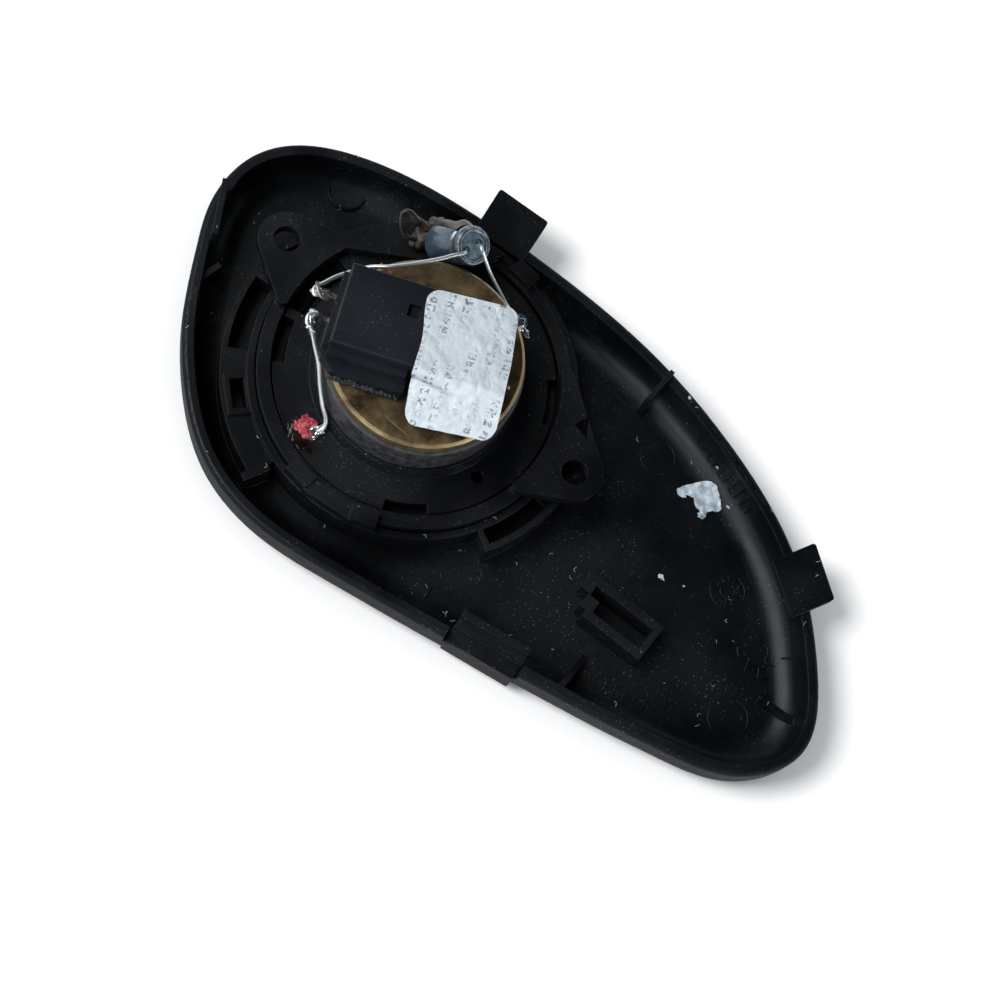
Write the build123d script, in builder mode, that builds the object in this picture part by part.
"""Car tweeter in its door trim cover, lying face down with its back up.

Millimetres. Z = 0 is the flat front of the cover and +Z points out of its back. The X axis runs along
the cover, towards its narrow end. The origin is under the middle of the bounding box. Every sketch is
drawn about the tweeter's axis, so tweeter_x and tweeter_y alone place the whole assembly.
"""

from build123d import *
from math import cos, pi, radians, sin, tan
import os

os.makedirs("parts", exist_ok=True)

# ---------------------------------------------------------------- cover
cover_height = 9.0
cover_floor = 2.5
cover_wall = 1.9
front_radius = 4.5
floor_radius = 4.6
rim_round = 0.8
# The egg-shaped edge of the cover, seen from behind, about the tweeter's axis.
cover_edge = [
    (-44.2, 4.5),
    (-41.0, 15.8),
    (-29.2, 23.7),
    (-13.0, 28.0),
    (6.0, 30.1),
    (27.0, 30.1),
    (45.1, 26.9),
    (63.8, 19.8),
    (78.5, 7.4),
    (85.0, -5.6),
    (78.8, -15.6),
    (68.4, -20.0),
    (57.0, -23.1),
    (44.0, -26.2),
    (31.0, -29.4),
    (12.0, -33.4),
    (-3.0, -35.5),
    (-15.4, -33.1),
    (-25.3, -26.5),
    (-33.8, -17.2),
    (-40.0, -7.0),
]

# Locating tabs and ribs of the cover.
tab_thickness = 1.5
top_tab_end = 35.4
top_tab_x = -5.1
top_tab_turn = 6.0
end_tab_place = (68.2, 17.3)
end_tab_turn = -33.1
tab_corner = 0.5
rib_thickness = 1.0
slot_tower_height = 5.2
slot_tower_place = (49.6, -7.9)
slot_tower_size = (12.6, 6.9)
slot_size = (9.4, 3.9)
slot_step = (2.4, 3.1)
slot_cut = (2.4, 1.6)
slot_key = (2.2, 1.9)
snap_frame = (7.0, 3.9)
snap_window = (5.0, 2.2)
snap_lift = 0.6
hook_depth = 2.6
hook_rise = 1.0
wide_hook = 9.0
narrow_hook = 4.4
clip_length = 12.0
clip_turn = 11.0
notch_turn = 13.0
notch_size = (13.0, 7.0)
notch_depth = 2.2
bar_size = (4.6, 1.3)
end_rib_size = (8.6, 1.0)
wide_end_rib_size = (4.4, 1.0)
side_fin_size = (6.4, 0.8)
edge_plate_size = (9.6, 1.0)
edge_plate_height = 5.5
ear_rib_size = (7.0, 1.2)

# Grille over the diaphragm.
grille_hole = 0.8
grille_pitch = 3.0
grille_rings = 5

# ---------------------------------------------------------------- mounting ring
ring_inner = 23.2
ring_outer = 25.4
ring_top = 9.7
ring_ledge = 21.0
ear_top = 11.3
ear_thickness = 2.0
ear_hole = 2.15
ear_pitch = 58.8
ear_middle = (-0.3, 3.45)
ear_line_turn = 1.9
ear_tip_radius = 4.7
seat_inner = 25.6
seat_outer = 26.8
seat_top = 8.2
shelf_top = 7.4
shelf_outer = 31.0

# ---------------------------------------------------------------- tweeter
flange_radius = 22.85
flange_front = 4.4
flange_plate = 6.0
flange_back = 9.0
horn_mouth = 19.0
horn_throat = 11.9
edge_seat = 13.6
edge_seat_z = 8.0
collar_outer = 17.0
collar_top = 11.0
magnet_radius = 16.0
magnet_hole = 9.5
magnet_top = 18.0
back_plate_radius = 15.5
back_plate_top = 20.2
pole_radius = 6.6
gap_radius = 7.8
top_plate_radius = 14.5
former_inner = 6.92
former_outer = 7.07
coil_outer = 7.4
dome_edge_z = 6.9
dome_rise = 2.7
terminal_radius = 19.6
terminal_turn = 251.5

# ---------------------------------------------------------------- connector
connector_turn = 25.0
connector_left = -15.0
connector_right = 9.0
connector_low = -5.5
connector_high = 7.8
connector_top = 26.8
pin_pitch = 4.0
pin_z = 22.4
socket_depth = 9.0
socket_size = (9.6, 3.9)
latch_window = (2.0, 2.1)
ledge_width = 3.1
ledge_height = 2.6
ledge_wall_height = 4.6

# ---------------------------------------------------------------- capacitor
capacitor_foot = (-11.3, 18.4, 13.0)
capacitor_head = (-5.9, 18.1, 21.6)
can_radius = 2.95
can_crimp = 0.6
sleeve_radius = 3.15
lead_pitch = 2.5
lead_radius = 0.28
jumper_radius = 0.4
glue_radius = 3.6
glue_places = [(-12.2, 19.6, 13.9), (-9.6, 19.6, 15.6), (-13.2, 17.4, 13.4)]


# ---------------------------------------------------------------- frame of the assembly
def level(height):
    """Plane across the tweeter's axis at a height above the cover's front."""
    return Plane((tweeter_x, tweeter_y, height))


def turned_level(height, angle, place=(0, 0)):
    """The same plane, turned about the axis direction and moved to a place on it."""
    origin = (tweeter_x + place[0], tweeter_y + place[1], height)
    direction = (cos(radians(angle)), sin(radians(angle)), 0)
    return Plane(origin=origin, x_dir=direction, z_dir=(0, 0, 1))


def polar(radius, angle):
    """Point at a radius and an angle about the tweeter's axis."""
    return (radius * cos(radians(angle)), radius * sin(radians(angle)))


def placed(point):
    """A point given about the tweeter's axis, in the assembly's frame."""
    return (point[0] + tweeter_x, point[1] + tweeter_y, point[2])


def ring_sector(inner, outer, start, sweep, mode=Mode.ADD):
    """Flat sector of a ring about the sketch's origin."""
    with BuildLine() as border:
        far = CenterArc((0, 0), outer, start, sweep)
        near = CenterArc((0, 0), inner, start, sweep)
        Line(far @ 0, near @ 0)
        Line(far @ 1, near @ 1)
    make_face(border.edges(), mode=mode)


def cover_face(inset=0.0):
    """The cover's outline, or one drawn through points a distance inside its edge."""
    with BuildLine(mode=Mode.PRIVATE) as edge:
        Spline(*cover_edge, periodic=True)
    if inset:
        curve = edge.edges()[0]
        steps = 2 * len(cover_edge)
        points = []
        for step in range(steps):
            spot = curve.position_at(step / steps)
            along = curve.tangent_at(step / steps)
            points.append((spot.X + inset * along.Y, spot.Y - inset * along.X))
        with BuildLine(mode=Mode.PRIVATE) as edge:
            Spline(*points, periodic=True)
    make_face(edge.edges())


def save(piece, name):
    """Label a finished sub-part and write it as a STEP file."""
    piece.part.label = name
    export_step(piece.part, "parts/" + name + ".step")


# The assembly's frame: the bounding box is centred on the origin.
with BuildSketch() as edge_sketch:
    cover_face()
edge_box = edge_sketch.sketch.bounding_box()
tweeter_x = -(edge_box.min.X + edge_box.max.X) / 2
tweeter_y = -(edge_box.min.Y + top_tab_end) / 2

ear_half = ear_pitch / 2
ear_places = [
    (
        ear_middle[0] + side * ear_half * cos(radians(ear_line_turn)),
        ear_middle[1] + side * ear_half * sin(radians(ear_line_turn)),
    )
    for side in (1, -1)
]
terminal_places = [polar(terminal_radius, terminal_turn), polar(terminal_radius, terminal_turn - 180)]

# ================================================================ trim cover
floor_start = cover_floor - 0.4
window_right = (-26, 24)
window_left = (188, 25)
shelf_arc = (186, 68)
snap_turn = 228.5
snap_place = polar(28.3, snap_turn)

with BuildPart() as trim_cover:
    # Outer shell with its rounded front edge.
    with BuildSketch(level(0)):
        cover_face()
    extrude(amount=cover_height)
    fillet(trim_cover.faces().sort_by(Axis.Z)[0].edges(), front_radius)
    fillet(trim_cover.faces().sort_by(Axis.Z)[-1].edges(), rim_round)

    # Hollow back.
    with BuildPart(mode=Mode.PRIVATE) as hollow:
        with BuildSketch(level(cover_floor)):
            cover_face(cover_wall)
        extrude(amount=cover_height)
        fillet(hollow.faces().sort_by(Axis.Z)[0].edges(), floor_radius)
    add(hollow.part, mode=Mode.SUBTRACT)

    # Wall around the mounting ring, and the low shelf beside it.
    with BuildSketch(level(floor_start)):
        Circle(seat_outer)
        Circle(seat_inner, mode=Mode.SUBTRACT)
    extrude(amount=seat_top - floor_start)
    with BuildSketch(level(floor_start)):
        ring_sector(seat_outer - 0.2, shelf_outer, *shelf_arc)
    extrude(amount=shelf_top - floor_start)
    with BuildSketch(level(cover_floor)):
        ring_sector(seat_outer, shelf_outer - 1.0, *window_left)
    extrude(amount=cover_height, mode=Mode.SUBTRACT)

    # Open-topped pocket beside the right ear.
    with BuildSketch(level(floor_start)):
        ring_sector(seat_outer - 0.2, shelf_outer - 0.6, window_right[0] - 2, window_right[1] + 6)
        ring_sector(
            seat_outer,
            shelf_outer - 1.6,
            window_right[0],
            window_right[1] + 2,
            mode=Mode.SUBTRACT,
        )
    extrude(amount=seat_top - floor_start)

    # Snap pocket in the shelf, with its raised frame.
    snap_plane = turned_level(shelf_top - 0.3, snap_turn - 90, snap_place)
    with BuildSketch(snap_plane):
        Rectangle(*snap_frame)
    extrude(amount=0.3 + snap_lift)
    with BuildSketch(snap_plane):
        Rectangle(*snap_window)
    extrude(amount=1.0, both=True, mode=Mode.SUBTRACT)
    with BuildSketch(turned_level(cover_floor + 0.6, snap_turn - 90, snap_place)):
        Rectangle(*snap_window)
    extrude(amount=cover_height, mode=Mode.SUBTRACT)

    # Snap hooks over the mounting ring.
    for hook_angle, hook_width in ((264, narrow_hook), (291, narrow_hook), (278, wide_hook), (86, narrow_hook)):
        hook_lift = 0.5 if hook_width == narrow_hook else 0.0
        with BuildSketch(turned_level(seat_top - 0.2, hook_angle + 90, polar(25.2, hook_angle))):
            Rectangle(hook_width, hook_depth)
        extrude(amount=ring_top - seat_top + hook_rise + hook_lift)
    with BuildSketch(level(cover_floor)):
        Circle(ring_outer + 0.1)
    extrude(amount=ring_top + 0.1 - cover_floor, mode=Mode.SUBTRACT)

    # Short bar at the shelf's end, ribs of the ends and sides.
    with BuildSketch(turned_level(floor_start, 66, (-8.2, -29.0))):
        Rectangle(*bar_size)
    extrude(amount=shelf_top - floor_start + 0.8)
    with BuildSketch(turned_level(floor_start, 5, (79.2, -1.0))):
        Rectangle(*end_rib_size)
    extrude(amount=2.6)
    with BuildSketch(turned_level(floor_start, 78, (-35.6, -9.0))):
        Rectangle(*wide_end_rib_size)
    extrude(amount=5.6)
    with BuildSketch(turned_level(floor_start, 90, (30.2, 26.0))):
        Rectangle(*side_fin_size)
    extrude(amount=cover_height - floor_start + 1.6)

    # Triangular gusset between the floor and the lower wall.
    with BuildSketch(Plane(origin=(tweeter_x + 49.4, tweeter_y, 0), x_dir=(0, 1, 0), z_dir=(1, 0, 0))):
        with BuildLine():
            Polyline((-13.8, floor_start), (-23.6, floor_start), (-23.6, 6.8), (-22.0, 6.8), close=True)
        make_face()
    extrude(amount=rib_thickness / 2, both=True)

    # Ribs that carry the two ears of the mounting ring.
    for place in ear_places:
        with BuildSketch(turned_level(floor_start, 72, place)):
            Rectangle(*ear_rib_size)
        extrude(amount=ear_top - ear_thickness - 1.2 - floor_start)

    # Slot tower with a step in its left end.
    with BuildSketch(turned_level(floor_start, 3, slot_tower_place)):
        Rectangle(*slot_tower_size)
        with Locations((-slot_tower_size[0] / 2 - 0.4, 1.9)):
            Rectangle(*slot_step)
        with Locations((-slot_tower_size[0] / 2, -3.1)):
            Rectangle(*slot_cut, mode=Mode.SUBTRACT)
    extrude(amount=slot_tower_height + cover_floor - floor_start)
    with BuildSketch(turned_level(cover_floor, 3, slot_tower_place)):
        with Locations((0.6, 0)):
            Rectangle(*slot_size)
        with Locations((-4.9, 1.0)):
            Rectangle(*slot_key)
    extrude(amount=cover_height, mode=Mode.SUBTRACT)

    # Notch in the lower rim, with the clip rail that stands behind it.
    with BuildSketch(turned_level(cover_height - notch_depth, notch_turn, (37.0, -27.4))):
        Rectangle(*notch_size)
    extrude(amount=cover_height, mode=Mode.SUBTRACT)
    with BuildSketch(turned_level(floor_start, clip_turn, (36.6, -24.6))):
        Rectangle(clip_length, 2.6)
    extrude(amount=cover_height - floor_start - 0.6)
    with BuildSketch(turned_level(floor_start, clip_turn, (36.4, -23.6))):
        Rectangle(clip_length, 1.2)
    extrude(amount=cover_height - floor_start + 0.7)
    with BuildSketch(turned_level(floor_start, clip_turn, (36.8, -26.5))):
        Rectangle(clip_length, 3.2)
    extrude(amount=cover_height - floor_start - 1.7)

    # Locating tabs that reach out over the rim.
    with BuildSketch(turned_level(cover_height - 1.1, top_tab_turn, (top_tab_x, top_tab_end - 4.6))) as top_tab:
        with BuildLine():
            Polyline((-4.7, -4.2), (4.7, -4.2), (4.3, 4.2), (-5.3, 4.2), close=True)
        make_face()
        fillet(top_tab.vertices(), tab_corner)
    extrude(amount=tab_thickness)
    with BuildSketch(turned_level(cover_height - 1.1, end_tab_turn, end_tab_place)) as end_tab:
        with BuildLine():
            Polyline((-5.4, 3.45), (4.3, 3.45), (5.4, -4.5), (-4.3, -4.5), close=True)
        make_face()
        fillet(end_tab.vertices(), tab_corner)
    extrude(amount=tab_thickness)
    with BuildSketch(turned_level(cover_height - 1.5, -58.7, (-40.6, -1.3))):
        Rectangle(*edge_plate_size)
    extrude(amount=edge_plate_height)

    # Round grille holes over the diaphragm, and the ring groove in the front.
    with BuildSketch(level(-1)):
        Circle(grille_hole)
        for ring in range(1, grille_rings + 1):
            with PolarLocations(ring * grille_pitch, 6 * ring):
                Circle(grille_hole)
    extrude(amount=cover_floor + 2, mode=Mode.SUBTRACT)
    groove_radius = (grille_rings + 1) * grille_pitch
    with BuildSketch(level(0)):
        Circle(groove_radius + 0.6)
        Circle(groove_radius, mode=Mode.SUBTRACT)
    extrude(amount=0.5, mode=Mode.SUBTRACT)
save(trim_cover, "trim_cover")

# ================================================================ mounting ring with two screw ears
with BuildPart() as mounting_ring:
    with BuildSketch(level(cover_floor)):
        Circle(ring_outer)
        Circle(ring_inner, mode=Mode.SUBTRACT)
    extrude(amount=ring_top - cover_floor)
    with BuildSketch(level(cover_floor)):
        Circle(ring_inner + 0.2)
        Circle(ring_ledge, mode=Mode.SUBTRACT)
    extrude(amount=flange_plate - cover_floor)
    # The two ear plates: a hull of the rounded tip and the two roots on the ring.
    for place, root_start, root_end in ((ear_places[0], -7.5, 42.0), (ear_places[1], 160.0, 192.5)):
        with BuildSketch(level(ear_top - ear_thickness)):
            with Locations(place):
                Circle(ear_tip_radius)
            with Locations(polar(ring_outer - 1.2, root_start), polar(ring_outer - 1.2, root_end)):
                Circle(1.2)
            make_hull()
            Circle(ring_inner, mode=Mode.SUBTRACT)
            with Locations(place):
                Circle(ear_hole, mode=Mode.SUBTRACT)
        extrude(amount=ear_thickness)
    # Triangular lightening hole at the root of the right ear.
    with BuildSketch(level(ear_top - ear_thickness)):
        with BuildLine():
            Polyline((24.9, 13.2), (23.9, 10.6), (27.2, 10.0), close=True)
        make_face()
    extrude(amount=ear_thickness, mode=Mode.SUBTRACT)
    # Shelf over the flange's upper left edge, which carries the capacitor.
    with BuildSketch(level(ear_top - ear_thickness)):
        with BuildLine():
            shelf_rim = CenterArc((0, 0), ring_outer, 96, 66)
            Line(shelf_rim @ 1, polar(ring_inner - 0.2, 159))
            Line(polar(ring_inner - 0.2, 159), (-5.2, 19.6))
            Line((-5.2, 19.6), shelf_rim @ 0)
        make_face()
    extrude(amount=ear_thickness)
save(mounting_ring, "mounting_ring")

# ================================================================ tweeter flange
with BuildPart() as tweeter_flange:
    with BuildSketch(Plane(origin=(tweeter_x, tweeter_y, 0), x_dir=(1, 0, 0), z_dir=(0, -1, 0))):
        with BuildLine():
            Polyline(
                (horn_mouth, flange_front),
                (ring_ledge - 0.2, flange_front),
                (ring_ledge - 0.2, flange_plate),
                (flange_radius, flange_plate),
                (flange_radius, flange_back),
                (collar_outer, flange_back),
                (collar_outer - 0.7, collar_top),
                (top_plate_radius + 0.1, collar_top),
                (top_plate_radius + 0.1, flange_back),
                (edge_seat, flange_back),
                (edge_seat, edge_seat_z),
                (horn_throat, edge_seat_z),
                (horn_throat, edge_seat_z - 0.8),
                close=True,
            )
        make_face()
    revolve(axis=Axis((tweeter_x, tweeter_y, 0), (0, 0, 1)))
    # Slots in the flange's edge.
    for slot_start, slot_sweep, slot_depth in ((22, 20, 1.4), (163, 30, 3.6), (197, 20, 1.9), (297, 18, 1.7)):
        with BuildSketch(level(flange_plate - 1)):
            ring_sector(flange_radius - slot_depth, flange_radius + 1, slot_start, slot_sweep)
        extrude(amount=flange_back - flange_plate + 2, mode=Mode.SUBTRACT)
    # Small locating hole, terminal holes and lead-out grooves.
    with BuildSketch(level(flange_front - 1)):
        with Locations((18.0, -6.1)):
            Circle(1.05)
    extrude(amount=flange_back, mode=Mode.SUBTRACT)
    with BuildSketch(level(flange_front - 1)):
        with Locations(*terminal_places):
            Circle(0.8)
    extrude(amount=flange_back, mode=Mode.SUBTRACT)
    for angle in (terminal_turn, terminal_turn - 180):
        with BuildSketch(turned_level(edge_seat_z + 0.3, angle, polar(16.2, angle))):
            Rectangle(6.8, 0.9)
        extrude(amount=flange_back - edge_seat_z - 0.3, mode=Mode.SUBTRACT)
save(tweeter_flange, "tweeter_flange")

# ================================================================ cloth and gasket in front of the diaphragm
with BuildPart() as acoustic_cloth:
    with BuildSketch(level(cover_floor)):
        Circle(horn_mouth - 0.4)
    extrude(amount=0.3)
save(acoustic_cloth, "acoustic_cloth")

with BuildPart() as foam_gasket:
    with BuildSketch(level(cover_floor)):
        Circle(ring_ledge - 0.2)
        Circle(horn_mouth - 0.2, mode=Mode.SUBTRACT)
    extrude(amount=flange_front - cover_floor)
save(foam_gasket, "foam_gasket")


def turned(points, name):
    """A turned piece from the points of its half section, as radius and height."""
    with BuildPart() as piece:
        with BuildSketch(Plane(origin=(tweeter_x, tweeter_y, 0), x_dir=(1, 0, 0), z_dir=(0, -1, 0))):
            with BuildLine():
                Polyline(*points, close=True)
            make_face()
        revolve(axis=Axis((tweeter_x, tweeter_y, 0), (0, 0, 1)))
    save(piece, name)
    return piece


# ================================================================ motor
turned(
    [
        (gap_radius, flange_back),
        (top_plate_radius, flange_back),
        (top_plate_radius, collar_top),
        (gap_radius, collar_top),
    ],
    "top_plate",
)
turned(
    [
        (magnet_hole, collar_top),
        (magnet_radius - 0.4, collar_top),
        (magnet_radius, collar_top + 0.4),
        (magnet_radius, magnet_top - 0.4),
        (magnet_radius - 0.4, magnet_top),
        (magnet_hole, magnet_top),
    ],
    "ferrite_magnet",
)
turned(
    [
        (0, flange_back),
        (pole_radius, flange_back),
        (pole_radius, magnet_top),
        (back_plate_radius, magnet_top),
        (back_plate_radius, back_plate_top - 0.5),
        (back_plate_radius - 0.5, back_plate_top),
        (0, back_plate_top),
    ],
    "back_plate",
)
turned(
    [
        (0, flange_back - 1.0),
        (pole_radius - 0.9, flange_back - 1.0),
        (pole_radius - 0.9, flange_back),
        (0, flange_back),
    ],
    "damping_felt",
)

# ================================================================ diaphragm
turned(
    [
        (former_inner, dome_edge_z),
        (former_outer, dome_edge_z),
        (former_outer, collar_top + 0.6),
        (former_inner, collar_top + 0.6),
    ],
    "coil_former",
)
turned(
    [
        (former_outer, flange_back - 0.4),
        (coil_outer, flange_back - 0.4),
        (coil_outer, collar_top + 0.4),
        (former_outer, collar_top + 0.4),
    ],
    "voice_coil",
)
dome_skin = 0.2
dome_sphere = (former_outer**2 + dome_rise**2) / (2 * dome_rise)
dome_centre = dome_edge_z - dome_rise + dome_sphere
with BuildPart() as dome:
    with Locations((tweeter_x, tweeter_y, dome_centre)):
        Sphere(dome_sphere)
        Sphere(dome_sphere - dome_skin, mode=Mode.SUBTRACT)
    split(bisect_by=level(dome_edge_z), keep=Keep.BOTTOM)
save(dome, "dome")

surround_inner = former_outer + 0.08
with BuildPart() as surround:
    with BuildSketch(Plane(origin=(tweeter_x, tweeter_y, 0), x_dir=(1, 0, 0), z_dir=(0, -1, 0))):
        with BuildLine():
            ThreePointArc((surround_inner, 7.0), (9.6, 7.1), (horn_throat - 0.1, edge_seat_z))
            Polyline(
                (horn_throat - 0.1, edge_seat_z),
                (edge_seat - 0.1, edge_seat_z),
                (edge_seat - 0.1, edge_seat_z + 0.2),
                (horn_throat - 0.2, edge_seat_z + 0.2),
            )
            ThreePointArc((horn_throat - 0.2, edge_seat_z + 0.2), (9.5, 7.3), (surround_inner, 7.2))
            Line((surround_inner, 7.2), (surround_inner, 7.0))
        make_face()
    revolve(axis=Axis((tweeter_x, tweeter_y, 0), (0, 0, 1)))
save(surround, "surround")

# ================================================================ lead-out strips and flange terminals
with BuildPart() as lead_out_strips:
    for angle in (terminal_turn, terminal_turn - 180):
        with BuildSketch(turned_level(edge_seat_z + 0.35, angle, polar(16.2, angle))):
            Rectangle(5.0, 0.6)
        extrude(amount=0.15)
save(lead_out_strips, "lead_out_strips")

with BuildPart() as flange_terminals:
    with BuildSketch(level(flange_plate)):
        with Locations(*terminal_places):
            Circle(0.78)
    extrude(amount=flange_back - flange_plate)
    with BuildSketch(level(flange_back)):
        with Locations(*terminal_places):
            Circle(1.5)
    extrude(amount=0.3)
save(flange_terminals, "flange_terminals")

# ================================================================ connector on the back plate
def connector_level(height):
    """Plane of the connector, which is turned about the tweeter's axis."""
    return turned_level(height, connector_turn)


connector_length = connector_right - connector_left
connector_width = connector_high - connector_low
connector_mid_x = (connector_right + connector_left) / 2
connector_mid_y = (connector_high + connector_low) / 2
pin_rows = (connector_mid_y - pin_pitch / 2, connector_mid_y + pin_pitch / 2)

with BuildPart() as connector_housing:
    with BuildSketch(connector_level(back_plate_top)):
        with Locations((connector_mid_x, connector_mid_y)):
            Rectangle(connector_length, connector_width)
    extrude(amount=connector_top - back_plate_top)
    fillet(connector_housing.faces().sort_by(Axis.Z)[-1].edges(), 0.3)
    # Step along the pin end, and the low ledge beside the housing.
    with BuildSketch(connector_level(back_plate_top + 0.4)):
        with Locations((connector_left - 0.4, connector_mid_y - 0.6)):
            Rectangle(1.0, connector_width - 1.2)
    extrude(amount=connector_top - back_plate_top - 2.0)
    with BuildSketch(connector_level(back_plate_top)):
        with BuildLine():
            Polyline(
                (connector_left - 0.6, connector_low + 0.1),
                (connector_left - 0.6, connector_low - 1.2),
                (connector_left + 1.6, connector_low - ledge_width),
                (-2.0, connector_low - ledge_width),
                (-2.0, connector_low + 0.1),
                close=True,
            )
        make_face()
    extrude(amount=ledge_height)
    # Wall between the ledge's groove and the housing.
    with BuildSketch(connector_level(back_plate_top)):
        with Locations((connector_mid_x - 5.6, connector_low - 0.6)):
            Rectangle(connector_length - 11.4, 1.4)
    extrude(amount=ledge_wall_height)
    # Latch window in the top and the socket in the right end.
    with BuildSketch(connector_level(connector_top - 1.0)):
        with Locations((-4.0, 3.1)):
            Rectangle(*latch_window)
    extrude(amount=2, mode=Mode.SUBTRACT)
    with BuildSketch(connector_level(back_plate_top + 1.3)):
        with Locations((connector_right - socket_depth / 2, connector_mid_y)):
            Rectangle(socket_depth, socket_size[0])
    extrude(amount=socket_size[1], mode=Mode.SUBTRACT)
    # Passages for the two pins.
    for row in pin_rows:
        with BuildSketch(connector_level(pin_z - 0.35)):
            with Locations((connector_mid_x, row)):
                Rectangle(connector_length + 4, 0.9)
        extrude(amount=0.7, mode=Mode.SUBTRACT)
save(connector_housing, "connector_housing")

with BuildPart() as connector_pins:
    for row in pin_rows:
        with BuildSketch(connector_level(pin_z - 0.3)):
            with Locations((connector_mid_x - 2.6, row)):
                Rectangle(connector_length - 1.6, 0.8)
        extrude(amount=0.6)
        # Cut end of each tail, opened into two prongs.
        with BuildSketch(connector_level(pin_z - 0.3)):
            with Locations((connector_left - 2.9, row)):
                Rectangle(1.6, 1.5)
        extrude(amount=0.6)
        with BuildSketch(connector_level(pin_z - 0.6)):
            with Locations((connector_left - 3.3, row)):
                Rectangle(1.4, 0.5)
        extrude(amount=1.2, mode=Mode.SUBTRACT)
save(connector_pins, "connector_pins")

# ================================================================ capacitor
foot = Vector(*placed(capacitor_foot))
head = Vector(*placed(capacitor_head))
capacitor_axis = (head - foot).normalized()
capacitor_length = (head - foot).length
bung_depth = 1.3
capacitor_side = Vector(-0.3, -0.94, 0)


def capacitor_level(distance):
    """Plane across the capacitor at a distance from its closed end."""
    return Plane(origin=foot + capacitor_axis * distance, x_dir=capacitor_side, z_dir=capacitor_axis)


with BuildPart() as capacitor_can:
    with BuildSketch(capacitor_level(0)):
        Circle(can_radius)
    extrude(amount=capacitor_length)
    fillet(capacitor_can.edges().sort_by(Axis.Z)[0], 0.4)
    with BuildSketch(capacitor_level(capacitor_length - bung_depth)):
        Circle(can_radius - can_crimp)
    extrude(amount=bung_depth, mode=Mode.SUBTRACT)
save(capacitor_can, "capacitor_can")

with BuildPart() as capacitor_bung:
    with BuildSketch(capacitor_level(capacitor_length - bung_depth)):
        Circle(can_radius - can_crimp)
        with Locations((lead_pitch / 2, 0), (-lead_pitch / 2, 0)):
            Circle(lead_radius + 0.02, mode=Mode.SUBTRACT)
    extrude(amount=bung_depth - 0.3)
save(capacitor_bung, "capacitor_bung")

with BuildPart() as capacitor_sleeve:
    with BuildSketch(capacitor_level(0.5)):
        Circle(sleeve_radius)
        Circle(can_radius, mode=Mode.SUBTRACT)
    extrude(amount=capacitor_length - 0.9)
save(capacitor_sleeve, "capacitor_sleeve")


def bend_radius(before, corner, after):
    """Radius of the arc at a corner, as large as its two runs allow."""
    into = Vector(*corner) - Vector(*before)
    out = Vector(*after) - Vector(*corner)
    half_turn = radians(into.get_angle(out)) / 2
    return 0.45 * min(into.length, out.length) / tan(half_turn)


def wire(points, radius, name):
    """A round wire along straight runs joined by tangent arcs."""
    route = [Vector(*placed(point)) for point in points]
    radii = [bend_radius(*route[i - 1 : i + 2]) for i in range(1, len(route) - 1)]
    with BuildPart() as piece:
        with BuildLine() as path:
            FilletPolyline(*route, radius=radii)
        with BuildSketch(Plane(origin=path.wire() @ 0, z_dir=path.wire() % 0)):
            Circle(radius)
        sweep(path=path.wire())
    length = path.wire().length
    swept = piece.part.volume / (pi * radius**2)
    print(name, "radii", [round(value, 2) for value in radii], "length", round(length, 2), round(swept, 2))
    save(piece, name)
    return piece


head_local = Vector(*capacitor_head)
across = capacitor_level(0).x_dir
bung_face = head_local - capacitor_axis * 0.3
hole_one = bung_face + across * (lead_pitch / 2)
hole_two = bung_face - across * (lead_pitch / 2)
rise_one = hole_one + capacitor_axis * 1.5
rise_two = hole_two + capacitor_axis * 1.4
wire(
    [
        tuple(hole_one),
        tuple(rise_one),
        (-13.9, 5.4, 23.6),
        (-18.3, 1.8, 22.9),
        (-19.1, -2.6, 23.2),
    ],
    lead_radius,
    "capacitor_lead_long",
)
wire(
    [
        tuple(hole_two),
        tuple(rise_two),
        (3.6, 17.7, 16.4),
        (6.1, 18.7, 12.0),
        (6.3, 18.5, 9.7),
    ],
    lead_radius,
    "capacitor_lead_short",
)

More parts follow.
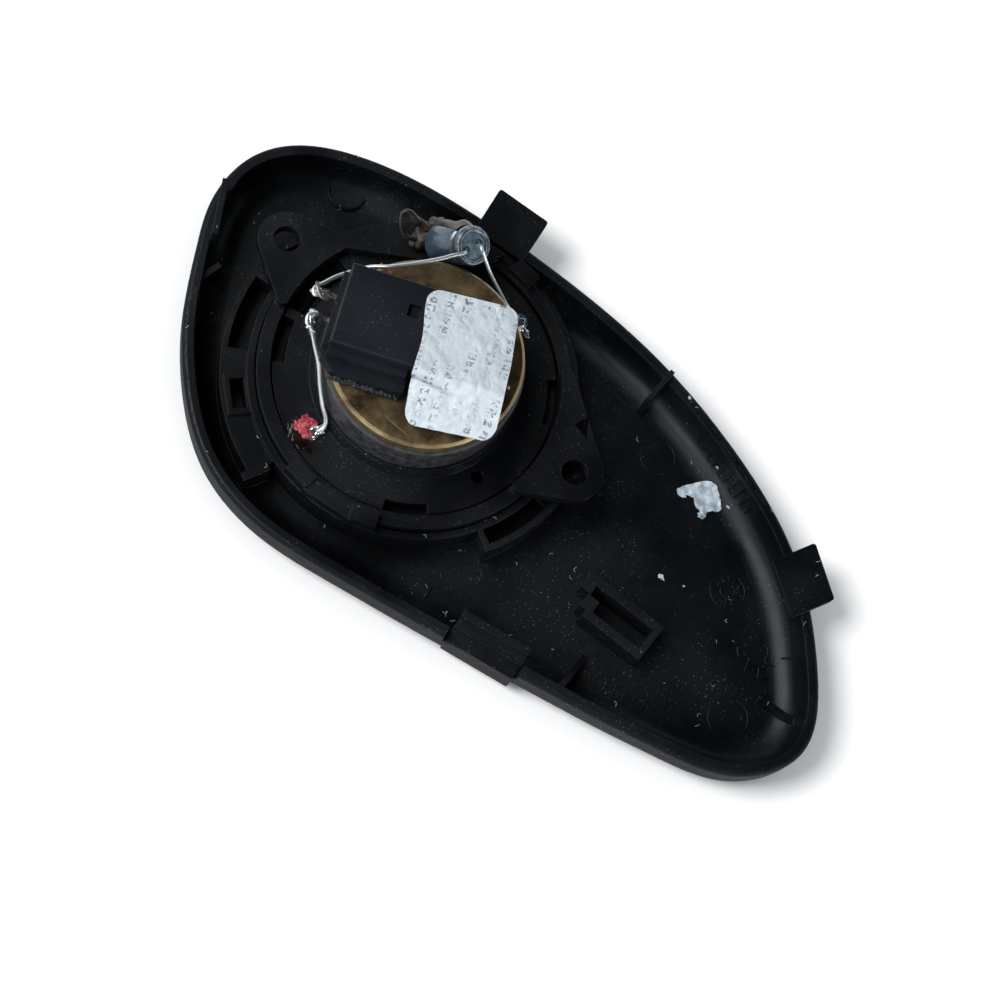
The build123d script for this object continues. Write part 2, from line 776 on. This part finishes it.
# ================================================================ jumper wire and solder
wire(
    [
        (-17.9, -7.6, 23.5),
        (-16.0, -10.0, 22.6),
        (-11.3, -14.0, 19.4),
        (-7.6, -16.2, 14.6),
        (-5.2, -17.9, 11.6),
        (-6.1, -18.5, 9.9),
    ],
    jumper_radius,
    "jumper_wire",
)

# ================================================================ labels
label_skin = 0.15
label_left = -1.0
label_right = 13.0
label_z = connector_top + 0.05
turn = radians(connector_turn)
label_plane = Plane(
    origin=(tweeter_x + label_left * cos(turn), tweeter_y + label_left * sin(turn), 0),
    x_dir=(-sin(turn), cos(turn), 0),
    z_dir=(cos(turn), sin(turn), 0),
)
with BuildPart() as rear_label:
    with BuildSketch(label_plane):
        with BuildLine():
            Polyline(
                (8.8, label_z),
                (-6.0, label_z),
                (-12.6, 21.2),
                (-12.6, 21.2 + 0.22),
                (-6.0, label_z + label_skin),
                (8.8, label_z + label_skin),
                close=True,
            )
        make_face()
    extrude(amount=label_right - label_left)
save(rear_label, "rear_label")

torn_plane = turned_level(cover_floor, -14, (47.2, 16.5))
with BuildPart() as torn_label:
    with BuildSketch(torn_plane):
        with BuildLine():
            Spline(
                (-3.8, -1.9),
                (-1.6, 1.9),
                (0.4, 2.6),
                (3.4, 0.6),
                (2.6, -2.0),
                (0.6, -1.0),
                (-1.6, -1.2),
                periodic=True,
            )
        make_face()
    extrude(amount=0.15)
save(torn_label, "torn_label")

# ================================================================ hot glue around the capacitor's foot
with BuildPart() as hot_glue:
    with Locations(*[placed(place) for place in glue_places]):
        Sphere(glue_radius)
    with BuildSketch(level(0)):
        Rectangle(100, 100)
    extrude(amount=ear_top, mode=Mode.SUBTRACT)
    with BuildSketch(capacitor_level(-2)):
        Circle(sleeve_radius)
    extrude(amount=capacitor_length + 6, mode=Mode.SUBTRACT)
    with BuildSketch(level(0)):
        Circle(magnet_radius + 0.2)
    extrude(amount=40, mode=Mode.SUBTRACT)
save(hot_glue, "hot_glue")

print("origin to tweeter axis", round(tweeter_x, 3), round(tweeter_y, 3))
